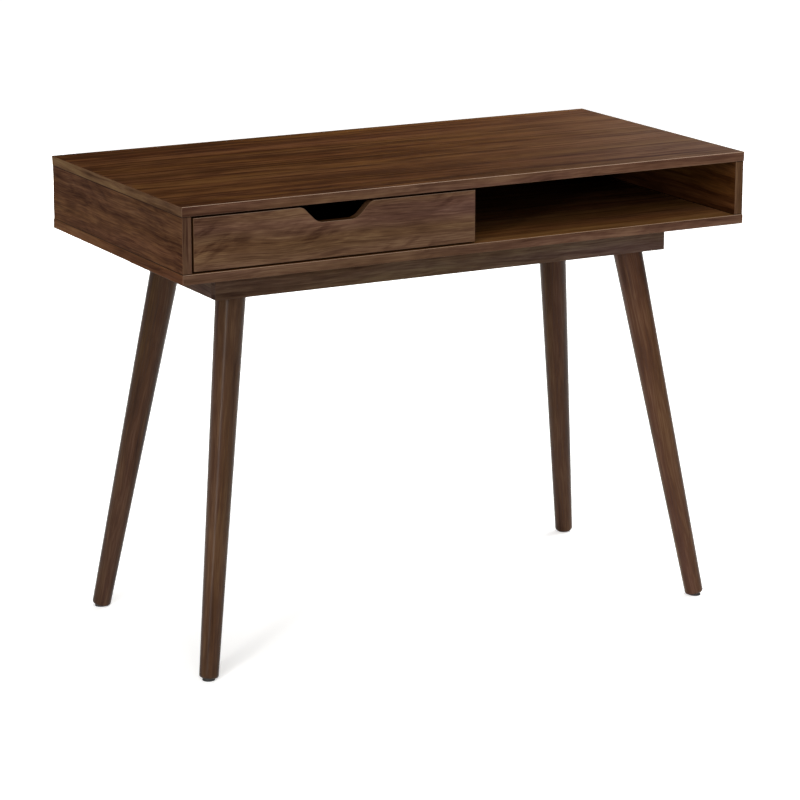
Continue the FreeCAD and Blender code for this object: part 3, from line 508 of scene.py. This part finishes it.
def jointed(tree, colour, place, line_colour, levels):
    """A board's colour with the dark line of a joint at its lowest and its highest level."""
    lowest, highest = levels
    reach = (highest - lowest) / 2
    level = add(tree, "SeparateXYZ", {0: place}).outputs["Z"]
    off = add(tree, "Math", {0: level, 1: (lowest + highest) / 2}, operation="SUBTRACT").outputs[0]
    off = add(tree, "Math", {0: off}, operation="ABSOLUTE").outputs[0]
    line = add(
        tree,
        "MapRange",
        {
            "Value": off,
            "From Min": reach - JOINT_START,
            "From Max": reach - JOINT_FULL,
            "To Max": JOINT_SHARE,
        },
    ).outputs[0]
    return add(
        tree, "Mix", {"Factor": line, 6: colour, 7: (*line_colour, 1.0)}, data_type="RGBA"
    ).outputs[2]


def veneer_board(name, wood, colours, cuts, axes, wear_and_highlight, seed, joints=None):
    """Dark walnut veneer under a matt lacquer on a board, its edges banded with strips of their own. The
    eye sees soft brown streaks along the board, mottled edges, and front arrises made paler by the rub of
    hands and by a painted highlight.
    The colours are of the faces, the long edges and the ends, and the cuts of the faces and the edges. The
    axes are the one that the faces look along, the one of the grain, and that of the grain on the ends. A
    board that stands between two others has a dark line at its joints, its lowest and highest level."""
    colour, edge_colour, end_colour = colours
    cut, edge_cut = cuts
    face, grain, end_grain = axes
    material, tree = new_material(name)
    source = add(tree, "TexCoord").outputs
    absolute = add(tree, "VectorMath", {0: source["Normal"]}, operation="ABSOLUTE").outputs[0]
    facing = add(tree, "SeparateXYZ", {0: absolute}).outputs
    on_face, on_end, sideways = (
        add(tree, "Math", {0: facing[axis], 1: FACING_SHARE}, operation="GREATER_THAN").outputs[0]
        for axis in (face, grain, "X")
    )
    apart = add(
        tree,
        "VectorMath",
        {0: source["Normal"], 1: FACE_STEP, 2: source["Object"]},
        operation="MULTIPLY_ADD",
    ).outputs[0]
    place_axes = add(tree, "SeparateXYZ", {0: apart}).outputs
    turned = []
    for along in (grain, end_grain):
        rest = [axis for axis in "XYZ" if axis != along]
        order = {index: place_axes[axis] for index, axis in enumerate([along] + rest)}
        turned.append(add(tree, "CombineXYZ", order).outputs[0])
    place = add(
        tree, "Mix", {"Factor": on_end, 4: turned[0], 5: turned[1]}, data_type="VECTOR"
    ).outputs[1]
    layers = walnut_grain(tree, place, wood, seed, BOARD_SWAY)
    face_tone = blended(tree, layers, cut)
    edge_tone = blended(tree, layers, edge_cut)
    banding = add(
        tree,
        "Mix",
        {
            "Factor": sideways,
            6: stained(tree, edge_tone, layers["tint"], edge_colour),
            7: stained(tree, edge_tone, layers["tint"], end_colour),
        },
        data_type="RGBA",
    ).outputs[2]
    veneer = stained(tree, face_tone, layers["tint"], colour)
    whole = add(tree, "Mix", {"Factor": on_face, 6: banding, 7: veneer}, data_type="RGBA").outputs[2]
    # Paler arrises, from rubbing and from a painted highlight.
    share = rubbed_and_highlighted(tree, source["Normal"], facing, grain, wear_and_highlight)
    finish = add(
        tree, "Mix", {"Factor": share, 6: whole, 7: (*wood.worn_highlight, 1.0)}, data_type="RGBA"
    ).outputs[2]
    if joints:
        finish = jointed(tree, finish, source["Object"], wood.joint, joints)
    lacquer_over(tree, finish, face_tone, layers["fibre"], MATT_LACQUER)
    return material


def turned_leg(name, wood, colour, axis, seed):
    """Walnut-stained solid wood, turned and sprayed with satin lacquer. The grain runs down the leg, and
    the lacquer draws a soft bright line down the side that faces the light."""
    material, tree = new_material(name)
    source = add(tree, "TexCoord").outputs
    turn = axis.rotation_difference(Vector((1, 0, 0))).to_euler()
    upright = add(tree, "Mapping", {"Vector": source["Object"], "Rotation": turn}).outputs[0]
    layers = walnut_grain(tree, upright, wood, seed, LEG_SWAY)
    tone = blended(tree, layers, STAINED)
    stain = stained(tree, tone, layers["tint"], colour)
    lacquer_over(tree, stain, tone, layers["fibre"], SATIN_LACQUER)
    return material


def speckled(name, colour, contrast, grit, roughness, relief, metallic=0.0, stretch=(1.0, 1.0, 1.0)):
    """A finish of one colour with fine uneven tone and relief, for moulded, coated, plated and raw pieces.
    Most of their real grit is well under a millimetre, too fine to show, so it is drawn coarser."""
    material, tree = new_material(name)
    source = add(tree, "TexCoord").outputs["Object"]
    scale = tuple(axis / grit for axis in stretch)
    place = add(tree, "VectorMath", {0: source, 1: scale}, operation="MULTIPLY").outputs[0]
    fine = add(tree, "TexNoise", {"Vector": place, "Scale": 1.0, "Detail": 3.0}).outputs["Fac"]
    broad = add(
        tree, "TexNoise", {"Vector": source, "Scale": 1 / CLOUD_SIZE, "Detail": 2.0}
    ).outputs["Fac"]
    mixed = add(tree, "Math", {0: fine, 1: broad}, operation="MULTIPLY").outputs[0]
    dull = tuple(channel * (1 - contrast) for channel in colour)
    bright = tuple(min(1.0, channel * (1 + contrast)) for channel in colour)
    ramp = add(tree, "ValToRGB", {"Fac": mixed}, stops=((DULL_PLACE, dull), (BRIGHT_PLACE, bright)))
    gloss = add(
        tree,
        "MapRange",
        {"Value": broad, "To Min": roughness + GLOSS_SPREAD, "To Max": roughness - GLOSS_SPREAD},
    )
    bump = add(tree, "Bump", {"Strength": relief, "Distance": GRIT_DEPTH, "Height": fine})
    shader = add(
        tree,
        "BsdfPrincipled",
        {
            "Base Color": ramp.outputs[0],
            "Metallic": metallic,
            "Roughness": gloss.outputs[0],
            "Normal": bump.outputs[0],
        },
    )
    add(tree, "OutputMaterial", {"Surface": shader.outputs[0]})
    return material


def dress(material, *names):
    """Puts one material on CAD nodes."""
    for name in names:
        mesh = frame["nodes"][name].data
        mesh.materials.clear()
        mesh.materials.append(material)


class DESK_OT_case(bpy.types.Operator):
    """Veneers the boards of the case"""

    bl_idname = "desk.case"
    bl_label = "Case boards"

    def execute(self, context):
        wood = context.scene.desk_walnut
        # Board, colours of its faces, long edges and ends, cuts of its faces and edges, axes, and wear.
        boards = (
            ("top_panel", (wood.top, wood.upper, wood.band), (CROWN, BANDED), "ZXY", 1.0),
            # The bottom board's paler face is painted light on the cubby floor.
            ("bottom_panel", (wood.inside, wood.edge, wood.lower), (PLAIN, BURRED), "ZXY", 0.8),
            ("left_side_panel", (wood.side, wood.edge, wood.side), (CURLED, BURRED), "XYZ", 0.3),
            ("right_side_panel", (wood.top, wood.edge, wood.side), (PLAIN, BURRED), "XYZ", 0.3),
            ("back_panel", (wood.side, wood.edge, wood.side), (PLAIN, BURRED), "YXZ", 0.3),
            ("centre_divider", (wood.side, wood.edge, wood.side), (PLAIN, BURRED), "XYZ", 0.3),
        )
        for index, (board, colours, cuts, axes, wear_and_highlight) in enumerate(boards):
            # The upright boards are jointed to the top and the bottom board.
            joints = None
            if board not in ("top_panel", "bottom_panel"):
                joints = [corner[2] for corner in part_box(board)]
            seed = CASE_SEED + index
            name = "walnut_veneer_" + board
            dress(veneer_board(name, wood, colours, cuts, axes, wear_and_highlight, seed, joints), board)
        return {"FINISHED"}


class DESK_OT_drawer(bpy.types.Operator):
    """Veneers the drawer front and finishes the drawer box"""

    bl_idname = "desk.drawer"
    bl_label = "Drawer"

    def execute(self, context):
        wood = context.scene.desk_walnut
        # Board, colour of its edges, cut of its faces, axes, and wear.
        boards = (
            # The drawer front's dark edges are painted shade for the gap round it.
            ("drawer_front", wood.gap_shade, CLOUDY, "YXZ", 0.5),
            ("drawer_left_side", wood.front, PLAIN, "XYZ", 0.2),
            ("drawer_right_side", wood.front, PLAIN, "XYZ", 0.2),
            ("drawer_back", wood.front, PLAIN, "YXZ", 0.2),
        )
        for index, (board, edge_colour, cut, axes, wear_and_highlight) in enumerate(boards):
            colours = (wood.front, edge_colour, edge_colour)
            seed = DRAWER_SEED + index
            name = "walnut_veneer_" + board
            dress(veneer_board(name, wood, colours, (cut, BURRED), axes, wear_and_highlight, seed), board)
        # Pressed hardboard is a matt brown felt of wood fibres, cloudy to the eye.
        bottom = speckled(
            "pressed_hardboard",
            context.scene.desk_hardware.hardboard,
            contrast=0.22,
            grit=2.5 * MM,
            roughness=0.6,
            relief=0.1,
            stretch=(1.0, 0.4, 1.0),
        )
        dress(bottom, "drawer_bottom")
        return {"FINISHED"}


class DESK_OT_underframe(bpy.types.Operator):
    """Veneers the rails of the underframe"""

    bl_idname = "desk.underframe"
    bl_label = "Underframe"

    def execute(self, context):
        wood = context.scene.desk_walnut
        colours = (wood.rail, wood.rail, wood.rail)
        # The ends of the front and rear rail carry on the grain of the side rails that meet them.
        rails = (
            ("front_rail", "YXY"),
            ("rear_rail", "YXY"),
            ("left_rail", "XYZ"),
            ("right_rail", "XYZ"),
        )
        for index, (rail, axes) in enumerate(rails):
            seed = RAIL_SEED + index
            name = "walnut_veneer_" + rail
            dress(veneer_board(name, wood, colours, (PLAIN, PLAIN), axes, RAIL_WEAR_AND_HIGHLIGHT, seed), rail)
        return {"FINISHED"}


class DESK_OT_legs(bpy.types.Operator):
    """Finishes the legs and their foot pads"""

    bl_idname = "desk.legs"
    bl_label = "Legs"

    def execute(self, context):
        wood = context.scene.desk_walnut
        feet = {mount["name"]: Vector(mount["pos_m"]) for mount in frame["record"]["mounts"]}
        for index, corner in enumerate(CORNERS):
            low, high = (Vector(end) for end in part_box(corner + "_leg_plate"))
            head = (low + high) / 2
            head.z = high.z
            axis = (head - feet[corner + "_foot"]).normalized()
            # Each leg's colour carries its own painted light and shade.
            colour = shaded(wood.leg, LEG_PAINTED_LIGHT[corner])
            name = "walnut_lacquer_" + corner + "_leg"
            dress(turned_leg(name, wood, colour, axis, LEG_SEED + index), corner + "_leg")
        # Moulded polythene, the usual plastic of such pads: black and dull, with a fine grained face.
        pad = speckled(
            "moulded_black_polythene",
            context.scene.desk_hardware.pad,
            contrast=0.25,
            grit=1.2 * MM,
            roughness=0.6,
            relief=0.3,
        )
        dress(pad, *[corner + "_foot_pad" for corner in CORNERS])
        return {"FINISHED"}


class DESK_OT_runners(bpy.types.Operator):
    """Finishes the runners and their rollers"""

    bl_idname = "desk.runners"
    bl_label = "Runners"

    def execute(self, context):
        hardware = context.scene.desk_hardware
        # Epoxy powder baked on steel: an even brown skin with a soft sheen and a slight orange peel.
        epoxy = speckled(
            "epoxy_coated_steel",
            hardware.epoxy,
            contrast=0.12,
            grit=1.5 * MM,
            roughness=0.42,
            relief=0.25,
        )
        dress(epoxy, *[member + "_runner" for member in RUNNER_MEMBERS])
        # Moulded nylon: off-white and nearly even, with a dull shine.
        nylon = speckled(
            "moulded_nylon",
            hardware.nylon,
            contrast=0.05,
            grit=1.5 * MM,
            roughness=0.4,
            relief=0.08,
        )
        dress(nylon, *[member + "_roller" for member in RUNNER_MEMBERS])
        return {"FINISHED"}


class DESK_OT_fixings(bpy.types.Operator):
    """Finishes the dowels, glue blocks, screws, bolts, plates and brackets"""

    bl_idname = "desk.fixings"
    bl_label = "Fixings"

    def execute(self, context):
        hardware = context.scene.desk_hardware
        # Raw beech, planed or turned: pale and matt, with short flecks drawn out along the piece.
        beech = speckled(
            "raw_beech",
            hardware.beech,
            contrast=0.14,
            grit=2.0 * MM,
            roughness=0.65,
            relief=0.2,
            stretch=(1.0, 1.0, 0.15),
        )
        dress(
            beech,
            "carcass_dowels",
            "frame_dowels",
            "drawer_dowels",
            *[corner + "_glue_block" for corner in CORNERS],
        )
        # Zinc plated on steel: a silvery metal whose bright and dull patches break up what it mirrors.
        zinc = speckled(
            "zinc_plated_steel",
            hardware.zinc,
            contrast=0.12,
            grit=1.6 * MM,
            roughness=0.36,
            relief=0.1,
            metallic=1.0,
        )
        dress(
            zinc,
            "carcass_screws",
            "frame_brackets",
            "frame_bracket_screws",
            "hanger_bolts",
            "leg_plate_screws",
            "drawer_cam_bolts",
            "drawer_cam_nuts",
            "drawer_back_screws",
            "cabinet_roller_pins",
            "drawer_roller_pins",
            "cabinet_runner_screws",
            "drawer_runner_screws",
            *[corner + "_leg_plate" for corner in CORNERS],
        )
        return {"FINISHED"}


def floor_finish(stage):
    """A pale matt studio floor. What looks at it, straight or in a mirror, sees it lifted to white, and the
    desk's shadow stays on it."""
    material, tree = new_material("pale_studio_floor")
    path = add(tree, "LightPath").outputs
    seen = path["Is Camera Ray"]
    for ray in ("Is Glossy Ray", "Is Transmission Ray"):
        seen = add(tree, "Math", {0: seen, 1: path[ray]}, operation="MAXIMUM").outputs[0]
    place = add(tree, "TexCoord").outputs["Object"]
    away = add(tree, "VectorMath", {0: place}, operation="LENGTH").outputs["Value"]
    paler = add(
        tree,
        "MapRange",
        {
            "Value": away,
            "From Min": LIFT_NEAR,
            "From Max": LIFT_FAR,
            "To Min": NEAR_STRENGTH,
            "To Max": FAR_STRENGTH,
        },
    )
    lift = add(tree, "Math", {0: seen, 1: paler.outputs[0]}, operation="MULTIPLY")
    surface = add(
        tree,
        "BsdfPrincipled",
        {
            "Base Color": (*stage.floor, 1.0),
            "Roughness": FLOOR_ROUGHNESS,
            "Specular IOR Level": 0.0,
            "Emission Color": WHITE,
            "Emission Strength": lift.outputs[0],
        },
    )
    add(tree, "OutputMaterial", {"Surface": surface.outputs[0]})
    return material


def hang_lamps(scene, stage):
    """Soft light from all round, and the lamps."""
    world = bpy.data.worlds.new("studio_air")
    world.use_nodes = True
    world.node_tree.nodes["Background"].inputs["Color"].default_value = WHITE
    world.node_tree.nodes["Background"].inputs["Strength"].default_value = stage.sky
    scene.world = world
    for name, (kind, place, width, height) in LAMPS.items():
        lamp = bpy.data.lights.new(name + "_lamp", kind)
        if kind == "SUN":
            lamp.angle = width
        else:
            lamp.shape = "RECTANGLE"
            lamp.size = width
            lamp.size_y = height
        lamp.energy = getattr(stage, name)
        holder = bpy.data.objects.new(name + "_lamp", lamp)
        holder.location = place
        holder.rotation_euler = (LAMP_AIM - holder.location).to_track_quat("-Z", "Y").to_euler()
        # The back lamp's mirror image would lie as a pale veil on the top.
        holder.visible_glossy = name != "back"
        scene.collection.objects.link(holder)


def place_camera(scene, stage):
    """The camera at the photograph's viewing angle."""
    lens = bpy.data.cameras.new("photo_camera")
    lens.lens = stage.lens
    lens.sensor_width = SENSOR_WIDTH
    lens.clip_end = CLIP_END
    camera = bpy.data.objects.new("photo_camera", lens)
    camera.location = stage.eye
    look = Vector(
        (
            math.sin(stage.heading) * math.cos(stage.tilt),
            math.cos(stage.heading) * math.cos(stage.tilt),
            -math.sin(stage.tilt),
        )
    )
    camera.rotation_euler = look.to_track_quat("-Z", "Y").to_euler()
    scene.collection.objects.link(camera)
    scene.camera = camera


class DESK_OT_stage(bpy.types.Operator):
    """Lays the floor, sets the lamps and places the camera"""

    bl_idname = "desk.stage"
    bl_label = "Stage"

    def execute(self, context):
        scene = context.scene
        stage = scene.desk_stage
        scene.view_settings.view_transform = "Standard"
        bpy.ops.mesh.primitive_circle_add(
            vertices=FLOOR_CORNERS, radius=FLOOR_RADIUS, fill_type="NGON"
        )
        floor = context.object
        floor.name = "floor"
        floor.data.materials.append(floor_finish(stage))
        hang_lamps(scene, stage)
        place_camera(scene, stage)
        return {"FINISHED"}


STEPS = (
    DESK_OT_case,
    DESK_OT_drawer,
    DESK_OT_underframe,
    DESK_OT_legs,
    DESK_OT_runners,
    DESK_OT_fixings,
    DESK_OT_stage,
)


class DESK_PT_sidebar(bpy.types.Panel):
    """Lists the settings and steps of the desk"""

    bl_idname = "DESK_PT_sidebar"
    bl_label = "Writing desk"
    bl_space_type = "VIEW_3D"
    bl_region_type = "UI"
    bl_category = "Desk"

    def draw(self, context):
        scene = context.scene
        for step in STEPS:
            self.layout.operator(step.bl_idname)
        for group in (scene.desk_walnut, scene.desk_hardware, scene.desk_stage):
            column = self.layout.column(align=True)
            for name in type(group).__annotations__:
                column.prop(group, name)


CLASSES = (DeskWalnut, DeskHardware, DeskStage, *STEPS, DESK_PT_sidebar)


def register():
    for item in CLASSES:
        bpy.utils.register_class(item)
    bpy.types.Scene.desk_walnut = PointerProperty(type=DeskWalnut)
    bpy.types.Scene.desk_hardware = PointerProperty(type=DeskHardware)
    bpy.types.Scene.desk_stage = PointerProperty(type=DeskStage)


def unregister():
    del bpy.types.Scene.desk_stage
    del bpy.types.Scene.desk_hardware
    del bpy.types.Scene.desk_walnut
    for item in reversed(CLASSES):
        bpy.utils.unregister_class(item)


def main():
    register()
    bpy.ops.desk.case()
    bpy.ops.desk.drawer()
    bpy.ops.desk.underframe()
    bpy.ops.desk.legs()
    bpy.ops.desk.runners()
    bpy.ops.desk.fixings()
    bpy.ops.desk.stage()


if __name__ == "__main__":
    main()
